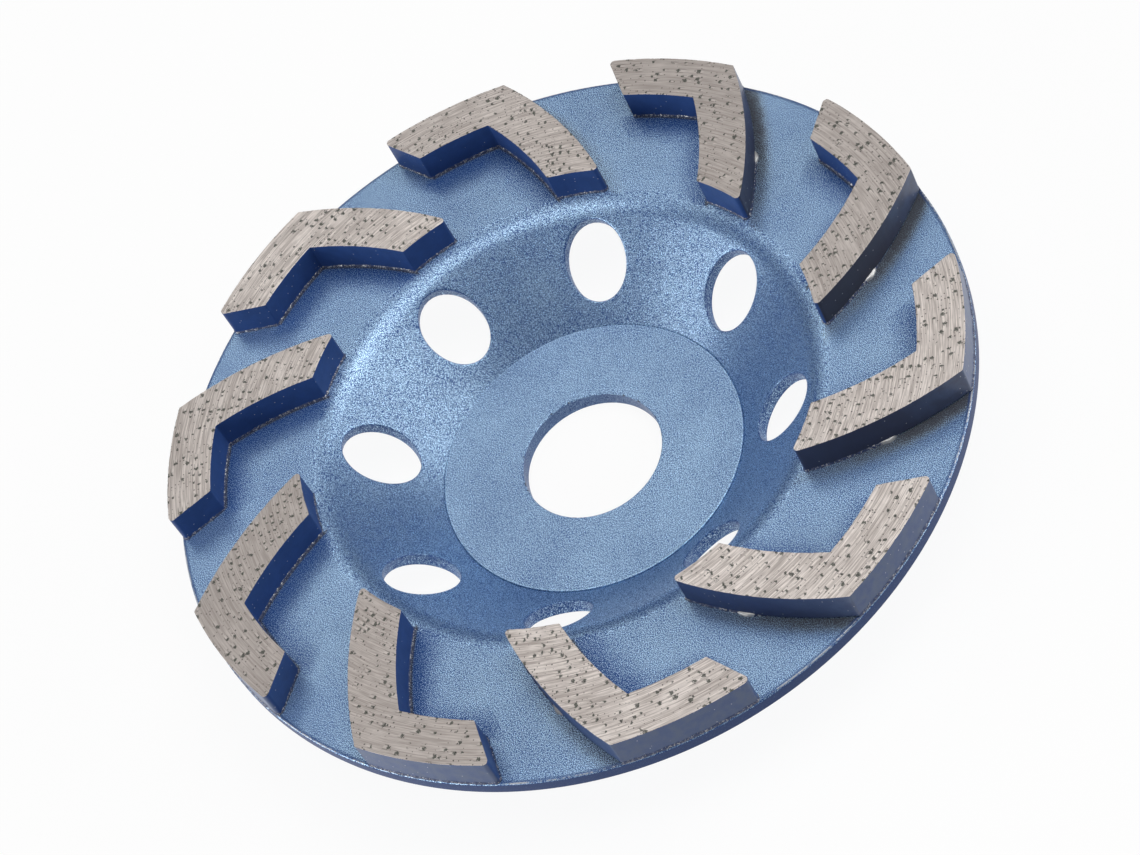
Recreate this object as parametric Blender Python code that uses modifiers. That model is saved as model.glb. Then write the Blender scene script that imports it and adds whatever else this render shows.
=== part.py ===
"""Diamond cup wheel for an angle grinder: a pressed steel cup with brazed L-shaped diamond segments.

Metres, +Z up. The wheel lies on the flat back of its hub with the segments up. The spindle axis is Z,
the back of the hub is at Z = 0, and the first vent hole is on +X.
"""

import math

import bmesh
import bpy
from mathutils import Matrix, Vector

OBJECT_NAME = "diamond_cup_wheel"

# Hub: the flat plate that is clamped on the spindle, with a round seat raised on its front
BORE_RADIUS = 0.011115
BORE_EDGE_RADIUS = 0.0002
HUB_SEAT_RADIUS = 0.024
HUB_SEAT_THICKNESS = 0.0027
HUB_SEAT_STEP = 0.0003
HUB_SEAT_LIP_RADIUS = 0.00015
HUB_BACK_BEND_RADIUS = 0.0025

# Cone: the sloping wall from the hub out to the flange
CONE_SLOPE = math.radians(40.5)
CONE_WALL = 0.0021

# Flange: the flat ring that carries the segments
WHEEL_RADIUS = 0.0625
FLANGE_HEIGHT = 0.0151
FLANGE_THICKNESS = 0.0024
FLANGE_BEND_RADIUS = 0.0066
RIM_EDGE_RADIUS = 0.00035

# Vent holes, punched in the blank, so pressing has stretched each into an oval along the slope
HOLE_COUNT = 8
HOLE_LENGTH = 0.0129
HOLE_WIDTH = 0.0099
HOLE_SETBACK = 0.008
HOLE_LEAN = math.radians(19.5)
HOLE_CUTTER_REACH = 0.007

# Segments: a rim arm along the flange's edge, and a curved inward arm that leaves it at the elbow
SEGMENT_COUNT = 10
SEGMENT_HEIGHT = 0.0052
SEGMENT_TURN = math.radians(-4.85)
BRAZE_GAP = 0.0003
RIM_LEDGE = 0.0002
RIM_ARM_WIDTH = 0.0071
RIM_ARM_SWEEP = math.radians(19.8)
RIM_ARM_END_LEAN = math.radians(25.5)
INWARD_ARM_WIDTH = 0.0074
INWARD_ARM_CURVE_RADIUS = 0.0611
INWARD_ARM_LEAN = math.radians(41.1)
TIP_OVERHANG = 0.0006
RIM_ARM_END_RADIUS = 0.001
INWARD_ARM_TIP_RADIUS = 0.0013
SHARP_CORNER_RADIUS = 0.0003

# Fineness of the curves
TURN_STEPS = 96
HOLE_STEPS = 40
CURVE_TOLERANCE = 0.00002
CORNER_SHARE = 0.45
SMOOTH_ANGLE = math.radians(28)
WELD_DISTANCE = 0.00001

# Surfaces: colour, roughness and metallic value
PAINT_BLUE = (0.13, 0.27, 0.50, 1.0)
PAINT_ROUGHNESS = 0.42
PAINT_METALLIC = 0.55
BOND_GREY = (0.40, 0.37, 0.34, 1.0)
BOND_ROUGHNESS = 0.5
BOND_METALLIC = 0.6


def clear_scene():
    """Remove the objects that Blender starts with."""
    for existing in list(bpy.data.objects):
        bpy.data.objects.remove(existing, do_unlink=True)


def new_collection(name):
    """Make a collection in the scene and return it."""
    collection = bpy.data.collections.new(name)
    bpy.context.scene.collection.children.link(collection)
    return collection


def metal(name, colour, roughness, metallic):
    """A Principled material with one colour."""
    material = bpy.data.materials.new(name)
    material.use_nodes = True
    shader = material.node_tree.nodes["Principled BSDF"]
    shader.inputs["Base Color"].default_value = colour
    shader.inputs["Roughness"].default_value = roughness
    shader.inputs["Metallic"].default_value = metallic
    return material


def polar(radius, angle):
    """The point at a radius and an angle from the spindle axis."""
    return Vector((radius * math.cos(angle), radius * math.sin(angle)))


def line_meets_circle(start, direction, radius):
    """Where a line first meets a circle about the spindle axis, going along its direction."""
    along = start.dot(direction)
    reach = math.sqrt(along ** 2 - start.length_squared + radius ** 2)
    return start + direction * min(t for t in (-along - reach, -along + reach) if t > 0)


def circles_meet(centre, radius, axis_radius):
    """Where a circle meets one about the spindle axis, on the clockwise side of its own centre."""
    distance = centre.length
    along = (distance ** 2 + axis_radius ** 2 - radius ** 2) / (2 * distance)
    aside = math.sqrt(axis_radius ** 2 - along ** 2)
    unit = centre.normalized()
    return unit * along + Vector((unit.y, -unit.x)) * aside


def curve_steps(turn, radius):
    """How many chords follow an arc within the curve tolerance."""
    chord_turn = 2 * math.acos(1 - CURVE_TOLERANCE / max(radius, CURVE_TOLERANCE))
    return max(2, math.ceil(abs(turn) / chord_turn))


def arc(centre, start, end):
    """Points of the shorter arc about a centre from start to end, without its two ends."""
    first = start - centre
    turn = -first.angle_signed(end - centre)
    steps = curve_steps(turn, first.length)
    return [centre + Matrix.Rotation(turn * i / steps, 2) @ first for i in range(1, steps)]


def rounded(corners):
    """Points of a closed outline of (point, radius) corners, each rounded inside its share of its sides."""
    points = []
    for index, (corner, radius) in enumerate(corners):
        back = corners[index - 1][0] - corner
        ahead = corners[(index + 1) % len(corners)][0] - corner
        half = back.angle(ahead) / 2
        longest_cut = CORNER_SHARE * min(back.length, ahead.length)
        cut = min(radius / math.tan(half), longest_cut)
        if radius == 0 or cut < WELD_DISTANCE:
            points.append(corner)
            continue
        centre = corner + (back.normalized() + ahead.normalized()).normalized() * cut / math.cos(half)
        first = corner + back.normalized() * cut - centre
        turn = -first.angle_signed(corner + ahead.normalized() * cut - centre)
        steps = curve_steps(turn, first.length)
        points += [centre + Matrix.Rotation(turn * i / steps, 2) @ first for i in range(steps + 1)]
    return points


def cone_foot_height():
    """Height of the cone's front surface where it starts at the hub seat."""
    return HUB_SEAT_THICKNESS - HUB_SEAT_STEP


def flange_bend_corner():
    """Radius at which the cone's front line would meet the flange's top with no bend."""
    return HUB_SEAT_RADIUS + (FLANGE_HEIGHT - cone_foot_height()) / math.tan(CONE_SLOPE)


def flange_flat_radius():
    """Radius at which the flange's top becomes flat."""
    return flange_bend_corner() + FLANGE_BEND_RADIUS * math.tan(CONE_SLOPE / 2)


def cup_section():
    """Closed section of the cup: out over the front, down the rim and back under the cup."""
    wall_foot = HUB_SEAT_RADIUS - cone_foot_height() / math.tan(CONE_SLOPE)
    back_line = wall_foot + CONE_WALL / math.sin(CONE_SLOPE)
    flange_back = FLANGE_HEIGHT - FLANGE_THICKNESS
    flange_back_corner = back_line + flange_back / math.tan(CONE_SLOPE)
    back_bend_radius = max(FLANGE_BEND_RADIUS - CONE_WALL, CONE_WALL)
    corners = [
        (BORE_RADIUS, HUB_SEAT_THICKNESS, BORE_EDGE_RADIUS),
        (HUB_SEAT_RADIUS, HUB_SEAT_THICKNESS, HUB_SEAT_LIP_RADIUS),
        (HUB_SEAT_RADIUS, cone_foot_height(), 0),
        (flange_bend_corner(), FLANGE_HEIGHT, FLANGE_BEND_RADIUS),
        (WHEEL_RADIUS, FLANGE_HEIGHT, RIM_EDGE_RADIUS),
        (WHEEL_RADIUS, flange_back, RIM_EDGE_RADIUS),
        (flange_back_corner, flange_back, back_bend_radius),
        (back_line, 0, HUB_BACK_BEND_RADIUS),
        (BORE_RADIUS, 0, BORE_EDGE_RADIUS),
    ]
    return rounded([(Vector((radius, height)), rounding) for radius, height, rounding in corners])


def segment_outline():
    """Plan outline of a segment whose elbow is on +X, from the elbow round to the tip and back."""
    outer = WHEEL_RADIUS - RIM_LEDGE
    inner = outer - RIM_ARM_WIDTH
    tip = flange_flat_radius() - TIP_OVERHANG
    axis = Vector((0, 0))

    elbow = Vector((outer, 0))
    end_outer = polar(outer, RIM_ARM_SWEEP)
    end_direction = -polar(1, RIM_ARM_SWEEP + RIM_ARM_END_LEAN)
    end_inner = line_meets_circle(end_outer, end_direction, inner)

    curve_centre = elbow + polar(INWARD_ARM_CURVE_RADIUS, math.pi / 2 + INWARD_ARM_LEAN)
    concave_radius = INWARD_ARM_CURVE_RADIUS - INWARD_ARM_WIDTH
    crook = circles_meet(curve_centre, concave_radius, inner)
    tip_concave = circles_meet(curve_centre, concave_radius, tip)
    tip_convex = circles_meet(curve_centre, INWARD_ARM_CURVE_RADIUS, tip)

    stretches = [
        (elbow, SHARP_CORNER_RADIUS, axis, end_outer),
        (end_outer, RIM_ARM_END_RADIUS, None, end_inner),
        (end_inner, SHARP_CORNER_RADIUS, axis, crook),
        (crook, SHARP_CORNER_RADIUS, curve_centre, tip_concave),
        (tip_concave, SHARP_CORNER_RADIUS, axis, tip_convex),
        (tip_convex, INWARD_ARM_TIP_RADIUS, curve_centre, elbow),
    ]
    corners = []
    for start, rounding, centre, end in stretches:
        corners.append((start, rounding))
        if centre is not None:
            corners += [(point, 0) for point in arc(centre, start, end)]
    return rounded(corners)


def finish_mesh(mesh):
    """Weld a mesh, turn its faces out and shade it smooth with crisp edges."""
    shape = bmesh.new()
    shape.from_mesh(mesh)
    bmesh.ops.remove_doubles(shape, verts=shape.verts, dist=WELD_DISTANCE)
    bmesh.ops.recalc_face_normals(shape, faces=shape.faces)
    shape.to_mesh(mesh)
    shape.free()
    mesh.shade_smooth()
    mesh.set_sharp_from_angle(angle=SMOOTH_ANGLE)


def evaluated_mesh(source, name):
    """The mesh that an object has after its modifiers."""
    graph = bpy.context.evaluated_depsgraph_get()
    mesh = bpy.data.meshes.new_from_object(source.evaluated_get(graph))
    mesh.name = name
    return mesh


def make_hole_cutters(collection):
    """Oval punches through the cone, one for each vent hole, leaning with the stretched wall."""
    hole_radius = HUB_SEAT_RADIUS + HOLE_SETBACK
    hole_height = cone_foot_height() + HOLE_SETBACK * math.tan(CONE_SLOPE)
    half_length = HOLE_LENGTH / 2 * math.cos(CONE_SLOPE - HOLE_LEAN)
    punch = bpy.data.meshes.new("hole_punch")
    shape = bmesh.new()
    bmesh.ops.create_cone(
        shape,
        cap_ends=True,
        segments=HOLE_STEPS,
        radius1=1,
        radius2=1,
        depth=2 * HOLE_CUTTER_REACH,
        matrix=Matrix.Diagonal((half_length, HOLE_WIDTH / 2, 1, 1)),
    )
    shape.to_mesh(punch)
    shape.free()
    for index in range(HOLE_COUNT):
        cutter = bpy.data.objects.new(f"hole_cutter_{index + 1:02d}", punch)
        turn = Matrix.Rotation(math.tau * index / HOLE_COUNT, 4, "Z")
        place = Matrix.Translation((hole_radius, 0, hole_height))
        cutter.matrix_world = turn @ place @ Matrix.Rotation(-HOLE_LEAN, 4, "Y")
        cutter.hide_render = True
        cutter.display_type = "WIRE"
        collection.objects.link(cutter)


def make_cup_body(collection, cutters):
    """Turn the cup's section round the spindle axis and punch its vent holes."""
    section = cup_section()
    mesh = bpy.data.meshes.new("cup_section")
    edges = [(i, (i + 1) % len(section)) for i in range(len(section))]
    mesh.from_pydata([(point.x, 0, point.y) for point in section], edges, [])
    body = bpy.data.objects.new("cup_body", mesh)
    collection.objects.link(body)

    turned = body.modifiers.new("turned", "SCREW")
    turned.axis = "Z"
    turned.angle = math.tau
    turned.steps = TURN_STEPS
    turned.render_steps = TURN_STEPS
    turned.use_merge_vertices = True
    turned.merge_threshold = WELD_DISTANCE

    punched = body.modifiers.new("vent_holes", "BOOLEAN")
    punched.operation = "DIFFERENCE"
    punched.operand_type = "COLLECTION"
    punched.collection = cutters
    punched.solver = "EXACT"

    body.data = evaluated_mesh(body, "cup_body")
    body.modifiers.clear()
    finish_mesh(body.data)
    body.data.materials.append(metal("blue_paint", PAINT_BLUE, PAINT_ROUGHNESS, PAINT_METALLIC))


def make_segments(collection):
    """Extrude the segment's outline once and stand a copy at each place on the flange."""
    curve = bpy.data.curves.new("segment_outline", "CURVE")
    curve.dimensions = "2D"
    curve.fill_mode = "BOTH"
    curve.extrude = SEGMENT_HEIGHT / 2
    outline = segment_outline()
    spline = curve.splines.new("POLY")
    spline.points.add(len(outline) - 1)
    for spline_point, point in zip(spline.points, outline):
        spline_point.co = (point.x, point.y, 0, 1)
    spline.use_cyclic_u = True

    pattern = bpy.data.objects.new("segment_pattern", curve)
    collection.objects.link(pattern)
    bpy.context.view_layer.update()
    mesh = evaluated_mesh(pattern, "diamond_segment")
    bpy.data.objects.remove(pattern, do_unlink=True)
    finish_mesh(mesh)
    mesh.materials.clear()
    mesh.materials.append(metal("diamond_bond", BOND_GREY, BOND_ROUGHNESS, BOND_METALLIC))

    middle_height = FLANGE_HEIGHT + BRAZE_GAP + SEGMENT_HEIGHT / 2
    for index in range(SEGMENT_COUNT):
        segment = bpy.data.objects.new(f"diamond_segment_{index + 1:02d}", mesh)
        segment.location = (0, 0, middle_height)
        segment.rotation_euler = (0, 0, SEGMENT_TURN + math.tau * index / SEGMENT_COUNT)
        collection.objects.link(segment)


def main():
    """Build the wheel."""
    clear_scene()
    parts = new_collection(OBJECT_NAME)
    cutters = new_collection("cutters")
    make_hole_cutters(cutters)
    make_cup_body(parts, cutters)
    make_segments(parts)


main()
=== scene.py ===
"""Diamond cup wheel: the looks of a painted steel cup with ten brazed diamond segments.

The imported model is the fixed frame. Each of its solids is replaced by a fine surface of the same form with
a finish of its own, braze fills the joints under the segments, and a plain studio is set round the wheel.
Lengths are metres, +Z is up, and the origin is on the spindle axis at the back of the hub. Inside the
materials and the noise, lengths are millimetres.
"""

import math

import bmesh
import bpy
import numpy as np
from mathutils import Matrix, Vector


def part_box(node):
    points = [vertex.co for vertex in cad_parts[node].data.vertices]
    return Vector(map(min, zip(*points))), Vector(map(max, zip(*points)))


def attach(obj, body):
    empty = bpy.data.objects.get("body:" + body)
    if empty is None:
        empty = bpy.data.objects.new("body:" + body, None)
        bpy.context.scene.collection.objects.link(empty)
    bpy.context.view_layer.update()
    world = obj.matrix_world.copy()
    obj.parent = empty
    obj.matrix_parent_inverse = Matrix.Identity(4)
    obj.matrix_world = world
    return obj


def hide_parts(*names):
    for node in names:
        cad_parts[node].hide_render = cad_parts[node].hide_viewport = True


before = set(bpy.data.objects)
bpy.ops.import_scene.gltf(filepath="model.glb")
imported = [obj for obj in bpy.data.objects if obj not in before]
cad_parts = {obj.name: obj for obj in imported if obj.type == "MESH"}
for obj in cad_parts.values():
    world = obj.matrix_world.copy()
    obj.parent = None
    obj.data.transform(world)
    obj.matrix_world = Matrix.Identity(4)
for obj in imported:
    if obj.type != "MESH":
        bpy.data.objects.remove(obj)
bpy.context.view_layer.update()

bl_info = {
    "name": "Diamond cup wheel",
    "version": (1, 0, 0),
    "blender": (4, 5, 0),
    "location": "3D View > Sidebar > Cup Wheel",
    "description": "Builds a painted cup wheel with brazed diamond segments and a studio round it",
    "category": "Object",
}

BODY = "cup_body"
SEGMENTS = sorted(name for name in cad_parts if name.startswith("diamond_segment"))
BODY_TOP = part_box(BODY)[1]
SEGMENT_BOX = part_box(SEGMENTS[0])
MM = 1000
WELD = 1e-6

HUB_MARGIN = 0.0013     # from the seat's edge to the vent hole grids
HOLE_MARGIN = 0.0064    # from a hole's middle to the end of its grid
HOLE_COLUMNS = 30       # grid points round the axis, for each hole
HOLE_SIDES = 14         # grid points along the slope there
EDGE_ROWS = 6           # rows over a hole's rounded edge
WALL_ROWS = 4           # rows down a hole's wall
FACE_ROWS = 10          # rows from the window to a hole's edge
CHIPPED = 0.2           # share of the ground edge's points with a chip
FILLER_RADIUS = 0.0505  # radius at which the spare filler lies
FILLER_WANDER = 0.0012  # how far that differs between segments
RECESS_RADIUS = 0.050   # radius from which the braze falls back
RECESS_RUN = 0.004      # length over which it falls back
FILM_INSET = 0.0002     # reach of the braze under a segment's edge
FILM_GAP = 0.00004      # gap left between the film and the joint face
BEAD_OVERLAP = 0.00005  # how far the bead's top lies inside the wall
SIDE_SLACK = 0.00002    # how near to the convex side a point counts as on it
RIM_SLACK = 0.00005     # how near to the rim side
WALL_SWAY = 0.00002     # how far a segment's wall sways in
TURNED_STEP = 0.0016    # longest chord along the turned section
WALL_STEP = 0.00025     # longest chord round a segment
BEAD_STEP = 0.0002      # longest chord round its braze
SLIDE_STEPS = 12        # times that a hole's edge is slid to the face

LAMP_DISTANCE = 0.8
LAMPS = (               # name, azimuth, elevation, width and height
    ("left", 307, 13, 0.9, 0.4),
    ("right", 104, 18, 0.7, 0.4),
    ("top", 112, 64, 0.6, 0.5),
    ("near", 320, 75, 0.5, 0.4),
    ("back", 213, 51, 0.5, 0.4),
)
FLOOR_HALF = 4.0
FLOOR_DROP = 0.00002
FLOOR_COLOUR = (0.86, 0.86, 0.86)
FLOOR_SEEN = 0.92       # how far the camera sees the floor as plain white


def length(name, default, description):
    """A length property in metres."""
    return bpy.props.FloatProperty(
        name=name, description=description, default=default, min=0, unit="LENGTH", precision=5
    )


def angle(name, degrees, description):
    """An angle property, whose default is given in degrees."""
    return bpy.props.FloatProperty(
        name=name, description=description, default=math.radians(degrees), subtype="ANGLE"
    )


def number(name, default, description):
    """A plain number property."""
    return bpy.props.FloatProperty(name=name, description=description, default=default)


def count(name, default, description):
    """A whole number property."""
    return bpy.props.IntProperty(name=name, description=description, default=default, min=1)


def colour(name, default, description):
    """A colour property, in linear light."""
    return bpy.props.FloatVectorProperty(
        name=name, description=description, default=default, size=3, min=0, max=1, subtype="COLOR"
    )


class CupWheelBody(bpy.types.PropertyGroup):
    """Sizes of the pressed steel cup."""

    bore_radius: length("Bore radius", 0.011115, "Radius of the spindle bore")
    bore_edge: length("Bore edge", 0.0002, "Rounding of the bore's edges")
    seat_radius: length("Seat radius", 0.024, "Radius of the raised seat on the hub")
    seat_thickness: length("Seat thickness", 0.0027, "Thickness of the hub at its seat")
    seat_step: length("Seat step", 0.0003, "Height of the seat over the foot of the cone")
    seat_lip: length("Seat lip", 0.00015, "Rounding of the seat's edge")
    hub_back_bend: length("Hub back bend", 0.0025, "Radius of the bend behind the hub")
    cone_slope: angle("Cone slope", 40.5, "Slope of the cone from the plane of the hub")
    cone_wall: length("Cone wall", 0.0021, "Thickness of the cone")
    flange_thickness: length("Flange thickness", 0.0024, "Thickness of the flange")
    flange_bend: length("Flange bend", 0.0066, "Radius of the bend from the cone to the flange")
    rim_edge: length("Rim edge", 0.00035, "Rounding of the rim's edges")
    hole_count: count("Vent holes", 8, "Number of vent holes in the cone")
    hole_length: length("Hole length", 0.0129, "Length of a vent hole along the slope")
    hole_width: length("Hole width", 0.0099, "Width of a vent hole round the cone")
    hole_setback: length("Hole setback", 0.008, "Distance from the seat's edge out to a hole's middle")
    hole_lean: angle("Hole lean", 19.5, "Lean of the punched walls from the spindle axis")
    hole_edge: length("Hole edge", 0.00028, "Rounding of a vent hole's edges")


class CupWheelSegment(bpy.types.PropertyGroup):
    """Sizes of a diamond segment, an L of two arms that meet at its elbow on the rim."""

    turn: angle("Turn", -4.85, "Angle of the first segment's elbow from the first vent hole")
    ledge: length("Ledge", 0.0002, "Width of the rim left outside the segment")
    rim_width: length("Rim arm width", 0.0071, "Width of the arm along the rim")
    rim_sweep: angle("Rim arm sweep", 19.8, "Angle that the rim arm covers from the elbow")
    rim_end_lean: angle("Rim arm end lean", 25.5, "Lean of the rim arm's end from the radius")
    inward_width: length("Inward arm width", 0.0074, "Width of the curved inward arm")
    inward_radius: length("Inward arm radius", 0.0611, "Radius of the inward arm's convex side")
    inward_lean: angle("Inward arm lean", 41.1, "Lean of the inward arm where it leaves the elbow")
    overhang: length("Tip overhang", 0.0006, "How far the tip passes inside the flange's flat")
    end_radius: length("Rim arm end radius", 0.001, "Rounding of the rim arm's outer corner")
    tip_radius: length("Tip radius", 0.0013, "Rounding of the tip's convex corner")
    corner_radius: length("Corner radius", 0.0003, "Rounding of the other corners")
    ground_edge: length("Ground edge", 0.00007, "Width of the worn edge of the ground face")


class CupWheelBraze(bpy.types.PropertyGroup):
    """Sizes of the braze that fills the joint under a segment."""

    reach: length("Reach", 0.00014, "How far the bead stands out from the segment's wall")
    ripple: length("Ripple", 0.00010, "How much the bead's reach varies along the joint")
    recess: length("Recess", 0.00035, "How far the braze stops short on the convex side")
    filler: length("Filler", 0.00048, "How far the blob of spare filler stands out")
    filler_length: length("Filler length", 0.0034, "Length of the blob along the joint")
    climb: length("Climb", 0.00010, "How far the bead climbs the segment's wall")


class CupWheelFinish(bpy.types.PropertyGroup):
    """Colours and grain of the finishes."""

    pigment: colour("Pigment", (0.013, 0.060, 0.232), "Blue between the paint's flakes")
    flake: colour("Flake", (0.545, 0.78, 1.00), "Bright flakes in the paint")
    wall: colour("Wall paint", (0.021, 0.055, 0.185), "Smooth paint on the segments' walls")
    # Partly dust, partly a painted sheen: the lighter grey that the outer walls show where they reflect the
    # bright floor.
    dust_and_sheen: colour("Dusty paint", (0.062, 0.092, 0.175), "Thin dusty paint on the segments' outer walls")
    soot: colour("Soot", (0.052, 0.047, 0.046), "Dark overspray beside the segments")
    steel: colour("Steel", (0.55, 0.56, 0.57), "Bare steel at nicks and worn edges")
    bond: colour("Bond", (0.620, 0.550, 0.512), "Ground metal bond of the segments")
    scratch: colour("Scratch", (0.88, 0.81, 0.765), "Bright side of the grinding marks")
    diamond: colour("Diamond", (0.060, 0.066, 0.055), "Dark diamond grit in the bond")
    braze: colour("Braze", (0.56, 0.56, 0.55), "Silver braze where no paint covers it")
    grain: number("Grain per millimetre", 6.2, "How fine the paint's grain is")


class CupWheelStage(bpy.types.PropertyGroup):
    """The camera and the lights."""

    camera_azimuth: angle("Camera azimuth", 30.49, "Direction of the camera round the wheel")
    camera_elevation: angle("Camera elevation", 50.60, "Height of the camera over the horizon")
    camera_roll: angle("Camera roll", -31.26, "Turn of the picture about the line of sight")
    camera_distance: length("Camera distance", 0.48788, "Distance from the camera to its target")
    target_x: length("Target X", 0.00339, "Point that the camera looks at, on the ground faces")
    target_back: length("Target back", 0.00717, "How far that point lies towards -Y")
    lens: number("Lens", 105.35, "Focal length in millimetres on a 36 mm wide sensor")
    world_level: number("World level", 0.05, "Strength of the even light from all round")
    left_power: number("Left lamp", 5.5, "Power of the low lamp on the left, in watts")
    right_power: number("Right lamp", 2.8, "Power of the low lamp on the right, in watts")
    top_power: number("Top lamp", 2.8, "Power of the high lamp on the right, in watts")
    near_power: number("Near lamp", 1.45, "Power of the lamp overhead, left of the camera, in watts")
    back_power: number("Back lamp", 0.8, "Power of the lamp behind, in watts")


# Geometry of plane lines


def polar(radius, turn):
    """The point (radius cos turn, radius sin turn)."""
    return radius * np.array([math.cos(turn), math.sin(turn)])


def rounded_line(corners, step=math.radians(6)):
    """A closed line of (point, radius) corners, each an arc tangent to both sides, cut every few degrees.

    The arc's centre lies on the corner's bisector at radius / sin(half angle), and its points are
    centre + radius (cos t, sin t) as t turns from one tangent point to the other.
    """
    points = np.array([point for point, radius in corners], float)
    pieces = []
    for index, (corner, radius) in enumerate(corners):
        back = points[index - 1] - corner
        ahead = points[(index + 1) % len(points)] - corner
        lengths = np.hypot(*back), np.hypot(*ahead)
        unit_back, unit_ahead = back / lengths[0], ahead / lengths[1]
        half = math.acos(np.clip(unit_back @ unit_ahead, -1, 1)) / 2
        cut = min(radius / math.tan(half), 0.45 * min(lengths))
        if cut < WELD:
            pieces.append(points[index:index + 1])
            continue
        bisector = unit_back + unit_ahead
        centre = corner + bisector / np.hypot(*bisector) * cut / math.cos(half)
        first, last = corner + unit_back * cut - centre, corner + unit_ahead * cut - centre
        start = math.atan2(first[1], first[0])
        turn = math.remainder(math.atan2(last[1], last[0]) - start, math.tau)
        t = start + turn * np.linspace(0, 1, max(3, math.ceil(abs(turn) / step) + 1))
        pieces.append(centre + np.hypot(*first) * np.column_stack([np.cos(t), np.sin(t)]))
    return np.vstack(pieces)


def arc_corners(centre, start, end, margin=0.0024, step=math.radians(1.5)):
    """Unrounded corners along the shorter arc about a centre, kept clear of its ends by a margin.

    They are centre + radius (cos t, sin t), and the margin leaves room for rounding at both ends.
    """
    first, last = start - centre, end - centre
    begin = math.atan2(first[1], first[0])
    turn = math.remainder(math.atan2(last[1], last[0]) - begin, math.tau)
    spare = min(margin / np.hypot(*first), 0.45 * abs(turn)) / abs(turn)
    t = begin + turn * np.linspace(spare, 1 - spare, max(2, math.ceil(abs(turn) / step)))
    ring = centre + np.hypot(*first) * np.column_stack([np.cos(t), np.sin(t)])
    return [(point, 0) for point in ring]


def densified(line, longest):
    """The same line with each chord cut into equal pieces no longer than the given length."""
    chords = np.diff(line, axis=0)
    cuts = np.maximum(1, np.ceil(np.linalg.norm(chords, axis=1) / longest)).astype(int)
    rank = np.arange(cuts.sum()) - np.repeat(np.cumsum(cuts) - cuts, cuts)
    start = np.repeat(line[:-1], cuts, axis=0)
    return np.vstack([start + np.repeat(chords / cuts[:, None], cuts, axis=0) * rank[:, None], line[-1:]])


def circle_crossing(centre, radius, axis_radius):
    """Where a circle meets one about the spindle axis, on the clockwise side of its own centre."""
    distance = np.hypot(*centre)
    along = (distance ** 2 + axis_radius ** 2 - radius ** 2) / (2 * distance)
    aside = math.sqrt(axis_radius ** 2 - along ** 2)
    unit = centre / distance
    return unit * along + np.array([unit[1], -unit[0]]) * aside


# Meshes


def grid_faces(rows, columns, wrap=False):
    """Quads of a grid, numbered row by row. With wrap, the last column meets the first."""
    across = columns if wrap else columns - 1
    row, column = np.meshgrid(np.arange(rows - 1), np.arange(across), indexing="ij")
    beside = (column + 1) % columns
    quads = np.stack([row * columns + column, row * columns + beside,
                      (row + 1) * columns + beside, (row + 1) * columns + column], axis=-1)
    return quads.reshape(-1, 4)


def turned(points, turns):
    """Copies of the points turned about the spindle axis by each of the given angles."""
    cos, sin = np.cos(turns), np.sin(turns)
    x, y, z = np.moveaxis(points, -1, 0)
    shape = (len(turns),) + (1,) * x.ndim
    cos, sin = cos.reshape(shape), sin.reshape(shape)
    height = np.broadcast_to(z, (len(turns),) + z.shape)
    return np.stack([x * cos - y * sin, x * sin + y * cos, height], axis=-1)


def new_piece(name, patches, material, crisp, loops=()):
    """A closed mesh object from (points, faces, marks) patches, welded where they meet, faces out.

    Edges over crisp degrees stay sharp. loops are rings of vertex numbers, each filled by one flat face.
    marks go to the vertex attribute mark, which the materials read: 1 on a punched wall, -1 on the
    bore's, and 1 on a blob of spare filler.
    """
    mesh = bpy.data.meshes.new(name)
    points, quads, marks = zip(*patches)
    starts = np.cumsum([0] + [len(part) for part in points])
    faces = [face for part, start in zip(quads, starts) for face in (part + start).tolist()]
    mesh.from_pydata(np.vstack(points), [], faces + [list(loop) for loop in loops])
    marks = np.concatenate(marks).astype(np.float32)
    mesh.attributes.new("mark", "FLOAT", "POINT").data.foreach_set("value", marks)
    shape = bmesh.new()
    shape.from_mesh(mesh)
    bmesh.ops.remove_doubles(shape, verts=shape.verts, dist=WELD)
    bmesh.ops.recalc_face_normals(shape, faces=shape.faces)
    shape.to_mesh(mesh)
    shape.free()
    mesh.shade_smooth()
    mesh.set_sharp_from_angle(angle=math.radians(crisp))
    mesh.materials.append(material)
    piece = bpy.data.objects.new(name, mesh)
    bpy.context.scene.collection.objects.link(piece)
    return piece


def walled_piece(name, index, rows, marks, material, crisp):
    """A closed piece at its turn in the ring, from rows up its wall, with a flat face at both ends."""
    rows = turned(np.array(rows), [math.tau * index / len(SEGMENTS)])[0]
    columns, total = rows.shape[1], rows.shape[0] * rows.shape[1]
    loops = [range(columns - 1, -1, -1), range(total - columns, total)]
    patch = (rows.reshape(-1, 3), grid_faces(*rows.shape[:2], wrap=True), np.tile(marks, len(rows)))
    return new_piece(name, [patch], material, crisp, loops)


# Shader maths


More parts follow.
